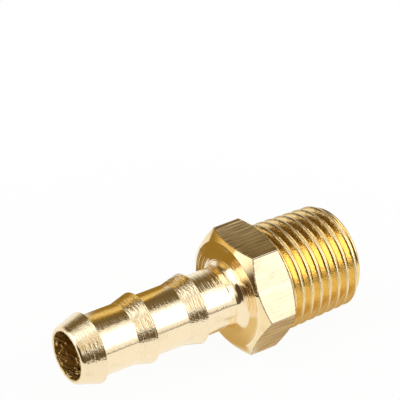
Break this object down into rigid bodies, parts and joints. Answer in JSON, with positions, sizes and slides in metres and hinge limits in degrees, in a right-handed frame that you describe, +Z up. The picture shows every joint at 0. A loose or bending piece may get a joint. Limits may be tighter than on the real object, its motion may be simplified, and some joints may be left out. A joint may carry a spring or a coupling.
{
  "type": "hose barb tail",
  "caption": "Straight brass hose tail: a barbed spigot for a hose, a spanner hexagon and a male taper pipe thread, bored right through.",
  "frame": {"origin": "on the surface that the part lies on, below the middle of its length: the bore axis is 7 mm above it", "axes": "+X along the bore from the hose end to the thread end, +Z up out of the hexagon's top flat; two flats of the hexagon face +Z and -Z"},
  "size_m": [0.038, 0.0162, 0.014],
  "materials": {
    "brass": "turned, bright"
  },
  "bodies": {
    "root": {"hose_tail": "brass"}
  },
  "joints": []
}
